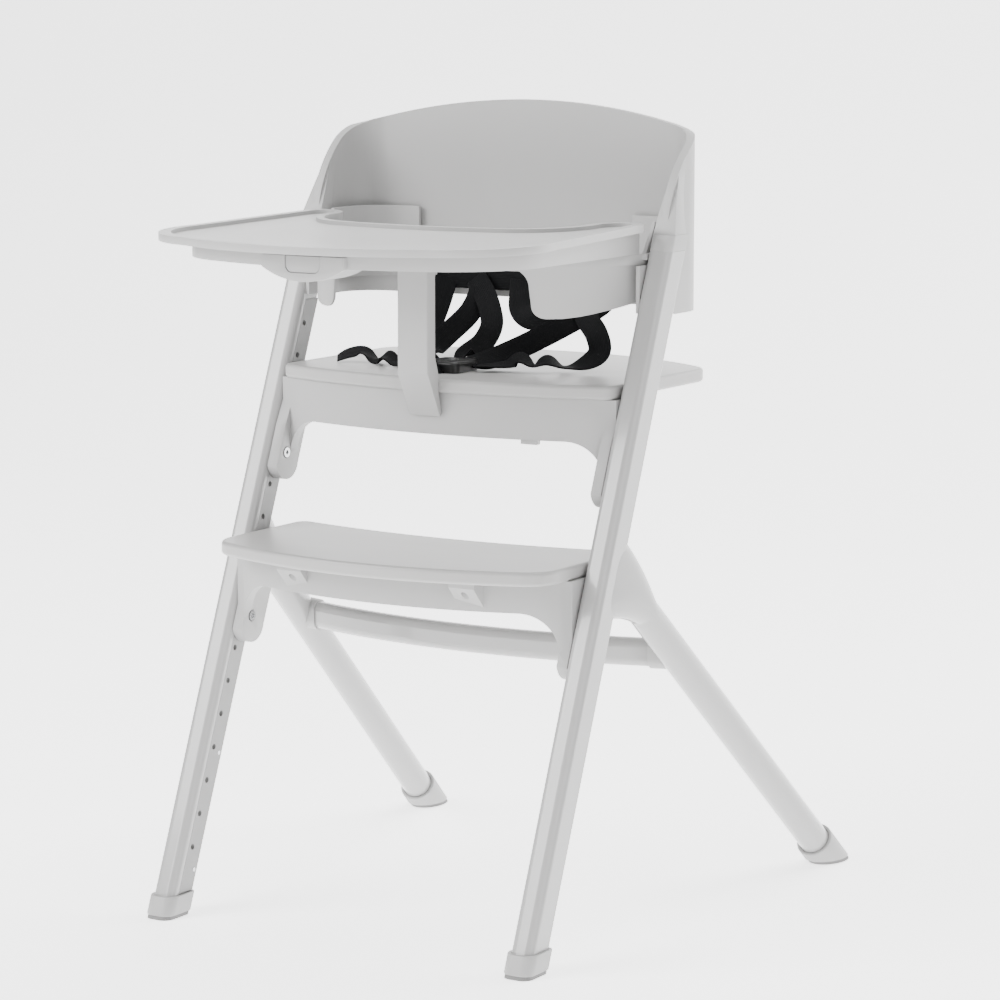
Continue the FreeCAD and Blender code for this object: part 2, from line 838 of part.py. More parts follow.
def front_ring(label, low, high, outer, inner, rear):
    """A band along the guard's front and sides back to rear, between two heights and two offsets."""
    body = new_body(label)
    ring_plan = new_sketch(body, "XY_Plane", low)
    guard_band(ring_plan, outer, inner)
    pad(body, ring_plan, high - low)
    ring_rear = new_sketch(body, "XZ_Plane", -rear)
    outline(ring_rear, [(-300, 600), (300, 600), (300, 800), (-300, 800)])
    pocket(body, ring_rear, 300.0)
    return body


guard_bar = front_ring("guard_bar", size.guard_rise, size.guard_shelf,
                       size.guard_bar, -size.guard_wall, 10.0)


def block(label, low, high):
    """A box between two corners."""
    piece = doc.addObject("Part::Box", label)
    for prop, start, end in zip(("Length", "Width", "Height"), low, high):
        bind(piece, prop, end - start)
    for axis, start in zip("xyz", low):
        bind(piece, f"Placement.Base.{axis}", start)
    return piece


lug = block("lug", (size.guard_half - 1, 2.0, size.guard_shelf - 6),
            (leg_inner - size.shift_gap, 20.0, size.guard_shelf))
guard = doc.addObject("Part::MultiFuse", "guard")
guard.Shapes = [guard_wall, guard_bar, lug, mirrored(lug, "lug_left")]
guard.Label = "front_guard"
keep(guard)

# crotch post: hangs from the guard's bar and leans back to the seat's front
post = new_body("crotch_post")
post_front = size.guard_front_y - size.guard_bar
post_rear = post_front + size.post_thick
post_side = new_sketch(post, "YZ_Plane")
outline(post_side, [
    (post_front, size.guard_rise), (post_front, size.post_bend),
    (post_front + 24, size.post_tip - 1), (post_front + 27, size.post_tip + 2),
    (post_rear + 6.5, size.seat_top - 14), (post_rear + 6.5, size.seat_top + 4),
    (post_rear, size.post_bend + 16), (post_rear, size.guard_rise)])
pad(post, post_side, size.post_wide, both=True)
fillet(post, 2.0, lambda edge: abs(abs(middle(edge).x) - DRIVING["post_wide"] / 2) < 1e-3
       and edge.Length > 60 and middle(edge).y < DRIVING["guard_front_y"])
keep(post)


# ---------------------------------------------------------------- tray
def tray_plan(sketch, inset):
    """The tray's outline in its own tilted plane, Y from its front edge back."""
    half = size.tray_half - inset
    deep = size.tray_front
    rear = 7 - deep
    outline(sketch, [
        (-150.0 + inset * 0.35, 34 + inset * 0.9, 34 + inset * -0.1),
        (150.0 - inset * 0.35, 34 + inset * 0.9, 30.0 - inset * 0.25),
        (half, 152.0 + inset * 0.1), (half - 10, rear - 24, 6.0),
        (half - 30, rear - inset * 0.9), (192.0 + inset * 0.1, rear - inset * 0.9, 9.0),
        (158 + inset, rear - 36, -16.0), (106 + inset * 0.4, 258 - inset * 0.6, -12.0 - inset * 0.02),
        (-106 - inset * 0.4, 258 - inset * 0.6, -16.0), (-158 - inset, rear - 36, 9.0),
        (-192.0 - inset * 0.1, rear - inset * 0.9), (-half + 30, rear - inset * 0.9, 6.0),
        (-half + 10, rear - 24), (-half, 152.0 + inset * 0.1, 30.0 - inset * 0.25)])


def tilt(body):
    """Lay a body in the tray's plane, hinged about its front edge."""
    body.Placement = Placement(Vector(0, 0, 0), Rotation(0, 0, DRIVING["tray_tilt"]))
    bind(body, "Placement.Base.y", size.tray_front)
    bind(body, "Placement.Base.z", size.tray_front_top)
    bind(body, "Placement.Rotation.Roll", size.tray_tilt)


tray = new_body("tray")
sheet_plan = new_sketch(tray, "XY_Plane", -size.tray_edge)
tray_plan(sheet_plan, 0.0)
pad(tray, sheet_plan, size.tray_edge)
doc.recompute()
dish = new_sketch(tray, "XY_Plane")
tray_plan(dish, DRIVING["tray_lip"])
pocket(tray, dish, size.tray_edge - size.tray_sheet)
tilt(tray)
keep(tray)

above = new_body("above_tray")
above_sketch = new_sketch(above, "XY_Plane", -size.tray_edge)
outline(above_sketch, [(-400, -100), (400, -100), (400, 600), (-400, 600)])
pad(above, above_sketch, 200)
tilt(above)


def skirt_plan(sketch, inset):
    """The skirt under the tray, in the chair's level plane."""
    half = size.tray_half - inset
    front = size.tray_front + 34
    step = inset - size.skirt_inset
    outline(sketch, [
        (-118, front + 20 + step, 20.0), (118, front + 20 + step, 26.0),
        (half, front + 130), (half, -1.5),
        (-half, -1.5), (-half, front + 130, 26.0)])


skirt_top = size.tray_front_top + 22
skirt_outer = prism("skirt_outer", size.skirt_low, skirt_top,
                    lambda sketch, y: skirt_plan(sketch, size.skirt_inset))
skirt_inner = prism("skirt_inner", size.skirt_low - 1, skirt_top + 1,
                    lambda sketch, y: skirt_plan(sketch, size.skirt_inset + size.skirt_wall))
skirt_gate = block("skirt_gate", (-(size.guard_half - 8), -30.0, size.skirt_low - 1),
                   (size.guard_half - 8, 0.0, skirt_top + 1))
skirt_ring = cut(cut(skirt_outer, skirt_inner, "skirt_ring"), skirt_gate, "skirt_open")
channel = front_ring("tray_channel", size.skirt_low, skirt_top, size.guard_bar - 1, 1.0, -1.0)

# the half-round housing that holds the release button
housing_face = size.tray_front + 31
housing = new_body("housing")
housing_front = new_sketch(housing, "XZ_Plane", -housing_face)
outline(housing_front, [
    (-50, size.skirt_low, 14.0), (50, size.skirt_low),
    (50, size.skirt_low + 12), (-50, size.skirt_low + 12)])
pad(housing, housing_front, 44.0, back=True)


def button_front(body, depth, grow):
    """The button's D outline in the chair's front plane, depth behind the housing's face."""
    sketch = new_sketch(body, "XZ_Plane", -(housing_face + depth))
    half = size.button_half + grow
    low = size.skirt_low - 5 - grow
    high = low + size.button_tall + 2 * grow
    outline(sketch, [
        (-half + 8, low), (half - 8, low, 8 * quarter), (half, low + 8), (half, high),
        (-half, high), (-half, low + 8, 8 * quarter)])
    return sketch


bay = new_body("button_bay")
pad(bay, button_front(bay, -2.0, size.shift_gap), size.button_deep + 12, back=True)
skirt = doc.addObject("Part::MultiFuse", "skirt")
skirt.Shapes = [skirt_ring, housing, channel]
tray_base = cut(cut(skirt, bay, "skirt_bored"), above, "tray_base")
keep(tray_base)
button = new_body("tray_button")
pad(button, button_front(button, 0.8, 0.0), size.button_deep, back=True)
keep(cut(button, above, "tray_button"))
button.Label = "tray_button_blank"
nodes[-1].Label = "tray_button"


# ---------------------------------------------------------------- seat and footrest
def board(label, top, front_y, front_bow, rear_y, rear_bow, front_round, rear_round_size):
    """A flat board with bowed edges, rounded corners and softened faces."""
    body = new_body(label)
    sketch = new_sketch(body, "XY_Plane", top - size.board_thick)
    half = size.board_half
    outline(sketch, [(-half, front_y, front_bow), (half, front_y), (half, rear_y, rear_bow),
                     (-half, rear_y)])
    pad(body, sketch, size.board_thick)
    split = (number(front_y) + number(rear_y)) / 2
    fillet(body, front_round, lambda edge: upright(edge) and middle(edge).y < split)
    fillet(body, rear_round_size, lambda edge: upright(edge) and middle(edge).y > split)
    fillet(body, size.board_soft, lambda edge: level(top)(edge) or level(top - size.board_thick)(edge))
    keep(body)


board("seat_board", size.seat_top, size.seat_front_y, size.seat_front_bow,
      size.seat_side_end, size.seat_rear_bow, 16.0, 30.0)
board("footrest_board", size.foot_top, size.foot_front_y, size.foot_front_bow,
      size.foot_rear_y, -size.foot_rear_bow, 40.0, 14.0)


def bracket(stem, top, front_y, front_bow, rail_tall, arm_low, bolt_height, gussets):
    """The moulding under a board: a bowed rail between two arms that lie on the legs."""
    under = top - size.board_thick
    arm_outer = leg_inner - size.arm_gap
    arm_inner = arm_outer - size.arm_thick
    rail = new_body(f"{stem}_rail")
    plan = new_sketch(rail, "XY_Plane", under - rail_tall - size.rail_fillet)
    front = front_y
    outline(plan, [
        (-arm_outer, front, front_bow), (arm_outer, front),
        (arm_outer, front + size.rail_thick, -front_bow), (-arm_outer, front + size.rail_thick)])
    pad(rail, plan, rail_tall + size.rail_fillet)
    arch = new_sketch(rail, "XZ_Plane")
    low = under - rail_tall
    curve = size.rail_fillet * quarter
    outline(arch, [
        (-arm_inner, low - size.rail_fillet - 1), (arm_inner, low - size.rail_fillet - 1),
        (arm_inner, low - size.rail_fillet, curve), (arm_inner - size.rail_fillet, low),
        (-arm_inner + size.rail_fillet, low, curve), (-arm_inner, low - size.rail_fillet)])
    pocket(rail, arch, both=True)

    arm = new_body(f"{stem}_arm")
    side = new_sketch(arm, "YZ_Plane", arm_inner)
    reach = size.arm_wide / 2 / cosine(size.leg_lean)
    end_z = arm_low + size.arm_wide / 2
    end_y = leg_y(end_z) + size.arm_back
    top_y = leg_y(under) + size.arm_back
    outline(side, [
        (end_y - reach, end_z, size.arm_wide * 0.44), (end_y + reach, end_z),
        (top_y + reach, under), (front, under), (front, under - 24),
        (leg_y(under - 52) + size.arm_back - reach, under - 52)])
    pad(arm, side, size.arm_thick)
    bolt_y = leg_y(bolt_height) + strip_middle

    def bolt_hole(depth_start, radius, length):
        tool = new_body(f"{stem}_bolt_tool")
        sketch = new_sketch(tool, "YZ_Plane", arm_inner + depth_start)
        circle(sketch, bolt_y, bolt_height, radius)
        pad(tool, sketch, length)
        return tool

    seat_of_head = bolt_hole(-1.0, size.head_radius + 1, size.head_tall)
    shank_hole = bolt_hole(0.0, size.hole_radius + 0.05, size.arm_thick)
    pieces = [rail, arm, mirrored(arm, f"{stem}_arm_left")]
    for count in range(2 if gussets else 0):
        x = (size.gusset_x if count else -size.gusset_x)
        gusset = new_body(f"{stem}_gusset")
        profile = new_sketch(gusset, "YZ_Plane", x - size.gusset_wide / 2)
        face = front - front_bow * 0.74
        outline(profile, [
            (face - size.gusset_deep, under), (face - size.gusset_deep, under - 9),
            (face + 6, under - 33), (face + 6, under)])
        pad(gusset, profile, size.gusset_wide)
        bore = new_sketch(gusset, "XY_Plane", under - 40)
        circle(bore, x, face - size.gusset_deep / 2, 4.0)
        pocket(gusset, bore, 36.0, back=True)
        pieces.append(gusset)
    if not gussets:
        pieces.append(block(f"{stem}_tab", (size.gusset_x, front - front_bow * 0.6, under - rail_tall - 5),
                            (size.gusset_x + 19, front - front_bow * 0.6 + 8, under - rail_tall + 1)))
    whole = doc.addObject("Part::MultiFuse", f"{stem}_moulding")
    whole.Shapes = pieces
    for tool in (seat_of_head, shank_hole):
        for tool_side in (tool, mirrored(tool, f"{stem}_hole_left")):
            whole = cut(whole, tool_side, f"{stem}_bored")
    whole.Label = f"{stem}_bracket"
    keep(whole)

    # the two chrome screws that hold the bracket to the legs
    screw = new_body(f"{stem}_screw")
    head = new_sketch(screw, "YZ_Plane", arm_inner - 0.8)
    circle(head, bolt_y, bolt_height, size.head_radius)
    pad(screw, head, size.head_tall - 0.2)
    shank = new_sketch(screw, "YZ_Plane", arm_inner)
    circle(shank, bolt_y, bolt_height, size.hole_radius)
    pad(screw, shank, size.arm_thick)
    doc.recompute()
    socket = new_sketch(screw, "YZ_Plane", arm_inner - 0.8)
    flat = size.head_radius * 0.5
    outline(socket, [(bolt_y + flat * math.cos(math.pi / 3 * step),
                      bolt_height + flat * math.sin(math.pi / 3 * step)) for step in range(6)])
    pocket(screw, socket, 2.4, back=True)
    keep(group(f"{stem}_lock_screws", [screw, mirrored(screw, f"{stem}_screw_left")]))


seat_bolt = size.hole_first + 12 * size.hole_pitch
foot_bolt = size.hole_first + 7 * size.hole_pitch
bracket("seat", size.seat_top, size.seat_front_y + size.rail_inset, size.seat_front_bow,
        size.rail_tall, size.seat_arm_low - 19, seat_bolt, False)
bracket("footrest", size.foot_top, size.foot_front_y + size.foot_rail_inset, size.foot_front_bow,
        size.foot_rail_tall, size.foot_arm_low - 19, foot_bolt, True)


# ---------------------------------------------------------------- harness
def ribbon(points, wide):
    """A webbing strip along points, its width level and square to the way it heads."""
    start, end = Vector(*points[0]), Vector(*points[-1])
    heading = Vector(end.x - start.x, end.y - start.y, 0).normalize()
    side = Vector(heading.y, -heading.x, 0)
    path = [point - side * (point - start).dot(side) for point in (Vector(*spot) for spot in points)]
    curve = Part.BSplineCurve()
    curve.interpolate(path)
    half = DRIVING["web_thick"] / 2
    count = 24
    upper, lower = [], []
    for step in range(count + 1):
        turn = curve.FirstParameter + (curve.LastParameter - curve.FirstParameter) * step / count
        spot = curve.value(turn)
        spot.z = max(spot.z, lap_z)
        across = curve.tangent(turn)[0].cross(side).normalize()
        upper.append(spot + across * half)
        lower.append(spot - across * half)
    face = Part.Face(Part.makePolygon(upper + lower[::-1] + upper[:1]))
    face.translate(side * (-wide / 2))
    return face.extrude(side * wide)


web = DRIVING["web_wide"]
lap_z = DRIVING["seat_top"] + DRIVING["shift_gap"] + DRIVING["web_thick"] / 2
band_inset = size.back_thick + size.shift_gap + size.web_thick
band_corner = shell_side(band_inset)
band_y = number(band_corner[2] + band_corner[4]) - 2.0

band = new_body("lumbar_band")
band_plan = new_sketch(band, "XY_Plane", size.back_low + 7)
shell_band(band_plan, size.back_corner_y - 20, size.back_thick + size.shift_gap, band_inset)
pad(band, band_plan, size.web_wide)
band_ends = new_sketch(band, "XZ_Plane")
for side in (1, -1):
    rounded(band_ends, (side * 185 - 65, size.back_low), (side * 185 + 65, size.back_low + 60), 2.0)
pocket(band, band_ends, both=True)
keep(band)

belts = {
    "shoulder_belt_left": [(-66, band_y - 3, 664), (-62, 84, 655), (-52, 52, 625), (-40, 20, 600),
                           (-26, -4.2, lap_z + 7)],
    "shoulder_belt_right": [(-20, band_y - 1, 668), (-16, 78, 640), (10, 60, 612), (14, 34, 606),
                            (2, -3, lap_z + 7)],
    "hip_belt_left": [(-108, band_y - 7, 665), (-105, 78, 640), (-96, 40, 610), (-70, 8, lap_z + 3),
                      (-49, -14, lap_z + 8)],
    "hip_belt_right": [(106, band_y - 8.2, 665), (103, 78, 644), (86, 44, 616), (56, 12, 596),
                       (20.6, -16, lap_z + 8)],
}
for name, points in belts.items():
    keep(made(name, ribbon(points, web)))

buckle = new_body("buckle")
buckle_plan = new_sketch(buckle, "XY_Plane", size.seat_top + size.shift_gap)
rounded(buckle_plan, (-34, -54), (10, -6), 8.0)
pad(buckle, buckle_plan, 12.0)
fillet(buckle, 3.0, lambda edge: level(size.seat_top + size.shift_gap + 12)(edge))
well = new_sketch(buckle, "XY_Plane", size.seat_top + size.shift_gap + 12)
circle(well, -12, -30, 9.3)
pocket(buckle, well, 5.0)
keep(buckle)
knob = new_body("buckle_button")
knob_plan = new_sketch(knob, "XY_Plane", size.seat_top + size.shift_gap + 9.4)
circle(knob_plan, -12, -30, 9.0)
pad(knob, knob_plan, 3.4)
fillet(knob, 1.0, lambda edge: level(size.seat_top + size.shift_gap + 12.8)(edge))
keep(knob)

crotch_belt = ribbon([(-12, -54.4, lap_z + 4), (-12, -64, lap_z + 1), (-12, -76, lap_z)], web)
keep(made("crotch_belt", crotch_belt))
tails = {
    "belt_tail_left": [(-60, -30, lap_z + 2), (-80, -36, lap_z + 7), (-102, -44, lap_z + 0.4),
                       (-122, -58, lap_z + 8), (-142, -66, lap_z + 0.4)],
    "belt_tail_right": [(34, -34, lap_z + 2), (60, -38, lap_z + 0.4), (86, -44, lap_z + 9),
                        (106, -42, lap_z + 0.4), (124, -30, lap_z + 2)],
}
for name, points in tails.items():
    keep(made(name, ribbon(points, web)))


# ---------------------------------------------------------------- check and write
doc.recompute()
faults = [item.Name for item in doc.Objects
          if "Invalid" in item.State or "Error" in item.State]
faults += [item.Label for item in nodes if item.Shape.isNull() or not item.Shape.isValid()]
if faults:
    raise ValueError(f"these failed: {faults}")
os.makedirs("parts", exist_ok=True)
for item in nodes:
    item.Shape.exportStep(f"parts/{item.Label}.step")
    print(item.Label, len(item.Shape.Solids), round(item.Shape.Volume))
print(len(nodes), "nodes")
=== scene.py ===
import json
import math

import bpy
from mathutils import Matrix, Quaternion, Vector


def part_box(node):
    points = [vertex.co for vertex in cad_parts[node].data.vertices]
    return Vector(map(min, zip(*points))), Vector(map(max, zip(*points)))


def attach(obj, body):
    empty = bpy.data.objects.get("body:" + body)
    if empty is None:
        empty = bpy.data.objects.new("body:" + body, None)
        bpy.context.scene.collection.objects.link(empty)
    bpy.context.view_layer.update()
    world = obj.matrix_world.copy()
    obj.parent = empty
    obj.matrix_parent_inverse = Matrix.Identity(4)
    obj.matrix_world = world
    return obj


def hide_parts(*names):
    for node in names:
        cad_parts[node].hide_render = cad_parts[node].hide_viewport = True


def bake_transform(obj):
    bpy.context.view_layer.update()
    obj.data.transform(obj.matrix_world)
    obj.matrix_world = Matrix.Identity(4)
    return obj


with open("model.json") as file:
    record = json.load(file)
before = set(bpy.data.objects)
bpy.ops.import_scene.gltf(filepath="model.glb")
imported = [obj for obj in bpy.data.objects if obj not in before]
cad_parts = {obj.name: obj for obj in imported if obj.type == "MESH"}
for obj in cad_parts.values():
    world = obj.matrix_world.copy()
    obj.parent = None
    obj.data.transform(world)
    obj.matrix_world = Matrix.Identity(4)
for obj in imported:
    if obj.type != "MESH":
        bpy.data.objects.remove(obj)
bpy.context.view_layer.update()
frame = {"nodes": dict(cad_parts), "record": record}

# A baby high chair: metres, +Z up, the child looks along -Y.


def freshSelection():
    if bpy.context.object and bpy.context.object.mode != "OBJECT":
        bpy.ops.object.mode_set(mode="OBJECT")
    bpy.ops.object.select_all(action="DESELECT")


def pick(piece):
    freshSelection()
    piece.select_set(True)
    bpy.context.view_layer.objects.active = piece


def applyModifier(piece, kind, **settings):
    pick(piece)
    modifier = piece.modifiers.new(kind.lower(), kind)
    for name, value in settings.items():
        setattr(modifier, name, value)
    bpy.ops.object.modifier_apply(modifier=modifier.name)


# shader maths as plain expressions
class Wire:
    def __init__(self, finish, socket):
        self.finish = finish
        self.socket = socket

    def maths(self, operation, first, second):
        return self.finish.node("ShaderNodeMath", {"operation": operation}, {0: first, 1: second})

    def __add__(self, other):
        return self.maths("ADD", self, other)

    def __sub__(self, other):
        return self.maths("SUBTRACT", self, other)

    def __rsub__(self, other):
        return self.maths("SUBTRACT", other, self)

    def __mul__(self, other):
        return self.maths("MULTIPLY", self, other)

    __radd__ = __add__
    __rmul__ = __mul__


class Finish:
    def __init__(self, name):
        self.material = bpy.data.materials.new(name)
        self.material.use_nodes = True
        self.tree = self.material.node_tree
        self.tree.nodes.clear()

    def node(self, kind, settings=None, sockets=None, output=0):
        made = self.tree.nodes.new(kind)
        for name, value in (settings or {}).items():
            if name == "stops":
                for element, (place, colour) in zip(made.color_ramp.elements, value):
                    element.position = place
                    element.color = (*colour, 1)
            else:
                setattr(made, name, value)
        for name, value in (sockets or {}).items():
            if isinstance(value, Wire):
                self.tree.links.new(value.socket, made.inputs[name])
            else:
                made.inputs[name].default_value = value
        return None if output is None else Wire(self, made.outputs[output])

    def function(self, operation, value):
        return self.node("ShaderNodeMath", {"operation": operation}, {0: value})

    def objectPlace(self):
        return self.node("ShaderNodeTexCoord", output=3)

    def noise(self, place, scale, detail=2.0):
        return self.node("ShaderNodeTexNoise", {}, {"Vector": place, "Scale": scale, "Detail": detail})

    def tints(self, amount, dark, light, low=0.3, high=0.7):
        return self.node("ShaderNodeValToRGB", {"stops": [(low, dark), (high, light)]}, {"Fac": amount})

    def bump(self, height, depth, strength=1.0):
        return self.node("ShaderNodeBump", {}, {"Height": height, "Distance": depth, "Strength": strength})

    def close(self, **sockets):
        names = {"colour": "Base Color", "roughness": "Roughness", "metallic": "Metallic",
                 "coat": "Coat Weight", "coatRoughness": "Coat Roughness", "normal": "Normal",
                 "sheen": "Sheen Weight", "specular": "Specular IOR Level",
                 "glow": "Emission Color", "glowStrength": "Emission Strength"}
        surface = self.node("ShaderNodeBsdfPrincipled", {},
                            {names[name]: value for name, value in sockets.items()})
        self.node("ShaderNodeOutputMaterial", {}, {"Surface": surface}, None)
        return self.material


def shade(value, warm=0.985):
    return (value, value * (1 + warm) / 2, value * warm)


# mouldings with a fine spark-eroded grain
def mouldedFinish(name, settings):
    finish = Finish(name)
    place = finish.objectPlace()
    cloud = finish.noise(place, settings["cloudScale"], 3.0)
    grain = finish.noise(place, settings["grainScale"], 2.0)
    light = settings["light"]
    colour = finish.tints(cloud, shade(light * (1 - settings["spread"])), shade(light))
    roughness = settings["roughness"] + (cloud - 0.5) * 0.12
    return finish.close(colour=colour, roughness=roughness, specular=0.45,
                        normal=finish.bump(grain, settings["grainDepth"], 0.6))


def paintedFinish(name, settings):
    finish = Finish(name)
    place = finish.objectPlace()
    cloud = finish.noise(place, 6.0, 3.0)
    peel = finish.noise(place, settings["peelScale"], 1.0)
    light = settings["light"]
    colour = finish.tints(cloud, shade(light * 0.97), shade(light))
    roughness = settings["roughness"] + (cloud - 0.5) * 0.1
    return finish.close(colour=colour, roughness=roughness, coat=settings["coat"],
                        coatRoughness=0.08, normal=finish.bump(peel, settings["peelDepth"], 0.5))


def lacqueredWoodFinish(name, settings):
    finish = Finish(name)
    place = finish.objectPlace()
    along = finish.node("ShaderNodeMapping", {}, {"Vector": place, "Scale": (1.2, 26.0, 26.0)})
    figure = finish.noise(along, 5.0, 6.0)
    pores = finish.noise(along, 34.0, 2.0)
    light = settings["light"]
    colour = finish.tints(figure, shade(light * 0.955, 0.97), shade(light, 0.98), 0.25, 0.75)
    roughness = settings["roughness"] + (figure - 0.5) * 0.15
    return finish.close(colour=colour, roughness=roughness, coat=0.15, coatRoughness=0.25,
                        normal=finish.bump(pores, settings["poreDepth"], 0.35))


def rubberFinish(name, settings):
    finish = Finish(name)
    place = finish.objectPlace()
    grain = finish.noise(place, 900.0, 2.0)
    light = settings["light"]
    colour = finish.tints(finish.noise(place, 30.0), shade(light * 0.9), shade(light))
    return finish.close(colour=colour, roughness=0.72 + (grain - 0.5) * 0.1,
                        normal=finish.bump(grain, 0.0001, 0.6))


def steelFinish(name, settings):
    finish = Finish(name)
    place = finish.objectPlace()
    scratches = finish.noise(place, 1200.0, 2.0)
    colour = finish.tints(scratches, shade(0.5, 1.02), shade(0.66, 1.02))
    return finish.close(colour=colour, metallic=1.0, roughness=0.16 + (scratches - 0.5) * 0.12)


def buckleFinish(name, settings):
    finish = Finish(name)
    place = finish.objectPlace()
    grain = finish.noise(place, 1500.0, 2.0)
    light = settings["light"]
    colour = finish.tints(finish.noise(place, 60.0), shade(light * 0.8, 1.05), shade(light, 1.05))
    return finish.close(colour=colour, roughness=settings["roughness"] + (grain - 0.5) * 0.1,
                        normal=finish.bump(grain, 0.00006, 0.6))


# the webbing's map is in metres: along it and across it
def webbingFinish(name, settings):
    finish = Finish(name)
    chart = finish.node("ShaderNodeUVMap", {"uv_map": settings["mapName"]})
    along = finish.node("ShaderNodeSeparateXYZ", {}, {0: chart}, 0)
    across = finish.node("ShaderNodeSeparateXYZ", {}, {0: chart}, 1)
    turn = 2 * math.pi
    slant = finish.function("SINE", (along + across) * (turn / settings["pick"]))
    counter = finish.function("SINE", (along - across) * (turn / settings["pick"]))
    cords = finish.function("ABSOLUTE", finish.function("SINE", across * (math.pi / settings["cord"])))
    weave = cords * 0.6 + (slant * counter) * 0.4
    fuzz = finish.noise(finish.objectPlace(), 2200.0, 2.0)
    colour = finish.tints(weave * 0.7 + fuzz * 0.3, settings["dark"], settings["light"], 0.2, 0.8)
    return finish.close(colour=colour, roughness=0.82 + (fuzz - 0.5) * 0.1, specular=0.15,
                        normal=finish.bump(weave, settings["relief"], 0.9))


webMap = "webMap"
finishes = {
    "moulded_plastic": mouldedFinish("mouldedPlastic", {
        "light": 0.37, "spread": 0.02, "cloudScale": 9.0, "grainScale": 1400.0,
        "grainDepth": 0.00008, "roughness": 0.46}),
    "tray_plastic": mouldedFinish("trayPlastic", {
        "light": 0.38, "spread": 0.02, "cloudScale": 8.0, "grainScale": 1700.0,
        "grainDepth": 0.00005, "roughness": 0.4}),
    "frame_metal": paintedFinish("framePaint", {
        "light": 0.36, "roughness": 0.22, "coat": 0.5, "peelScale": 420.0, "peelDepth": 0.00006}),
    "rail_metal": paintedFinish("railPaint", {
        "light": 0.25, "roughness": 0.42, "coat": 0.1, "peelScale": 700.0, "peelDepth": 0.00005}),
    "lacquered_wood": lacqueredWoodFinish("lacqueredWood", {
        "light": 0.36, "roughness": 0.44, "poreDepth": 0.00008}),
    "sole_rubber": rubberFinish("soleRubber", {"light": 0.19}),
    "screw_steel": steelFinish("screwSteel", {}),
    "buckle_plastic": buckleFinish("bucklePlastic", {"light": 0.006, "roughness": 0.38}),
    "buckle_button": buckleFinish("buckleButton", {"light": 0.012, "roughness": 0.32}),
    "webbing": webbingFinish("webbing", {
        "mapName": webMap, "pick": 0.0022, "cord": 0.0018, "relief": 0.0003,
        "dark": (0.0014, 0.0015, 0.0018), "light": (0.0065, 0.007, 0.008)}),
}
print("finishes ready")

nodeSlots = {row["node"]: row["material_slot"] for row in frame["record"]["subparts"]}
nodeBodies = {name: body for body, names in frame["record"]["behaviour"]["bodies"].items()
              for name in names}


def dress(piece, slotName):
    piece.data.materials.clear()
    piece.data.materials.append(finishes[slotName])


for nodeName, node in frame["nodes"].items():
    dress(node, nodeSlots[nodeName])

# mouldings and boards get the soft edges they are moulded or sanded with
edgeSizes = {
    "back_shell": 0.0026, "front_guard": 0.0014, "crotch_post": 0.002, "tray": 0.0017,
    "tray_base": 0.0012, "seat_bracket": 0.0022, "footrest_bracket": 0.0022,
    "leg_cap_right": 0.0012, "leg_cap_left": 0.0012,
    "front_foot_right": 0.0012, "front_foot_left": 0.0012,
    "rear_foot_right": 0.0014, "rear_foot_left": 0.0014, "tray_button": 0.0008,
}


def softened(nodeName, width):
    source = frame["nodes"][nodeName]
    piece = source.copy()
    piece.data = source.data.copy()
    for key in list(piece.keys()):
        del piece[key]
    piece.parent = None
    piece.name = f"{nodeName}_finished"
    bpy.context.scene.collection.objects.link(piece)
    pick(piece)
    bpy.ops.object.mode_set(mode="EDIT")
    bpy.ops.mesh.select_all(action="SELECT")
    bpy.ops.mesh.remove_doubles(threshold=0.00002)
    bpy.ops.mesh.dissolve_limited(angle_limit=math.radians(0.6))
    bpy.ops.object.mode_set(mode="OBJECT")
    applyModifier(piece, "BEVEL", width=width, segments=3, limit_method="ANGLE",
                  angle_limit=math.radians(38), use_clamp_overlap=True, miter_outer="MITER_ARC")
    bpy.ops.object.shade_smooth_by_angle(angle=math.radians(34))
    dress(piece, nodeSlots[nodeName])
    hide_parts(nodeName)
    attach(piece, nodeBodies[nodeName])
    return piece


for nodeName, width in edgeSizes.items():
    softened(nodeName, width)
print("mouldings ready")

webbing = {"width": 0.025, "thickness": 0.0016, "stepsPerSpan": 9, "acrossCells": 6}
outlook = Vector((0.5, -0.84, 0.2)).normalized()  # the way a strap's face lies when its twist is nought


def smoothPoint(before, start, end, after, share):
    return 0.5 * ((2 * start) + (end - before) * share
                  + (2 * before - 5 * start + 4 * end - after) * share ** 2
                  + (3 * start - before - 3 * end + after) * share ** 3)


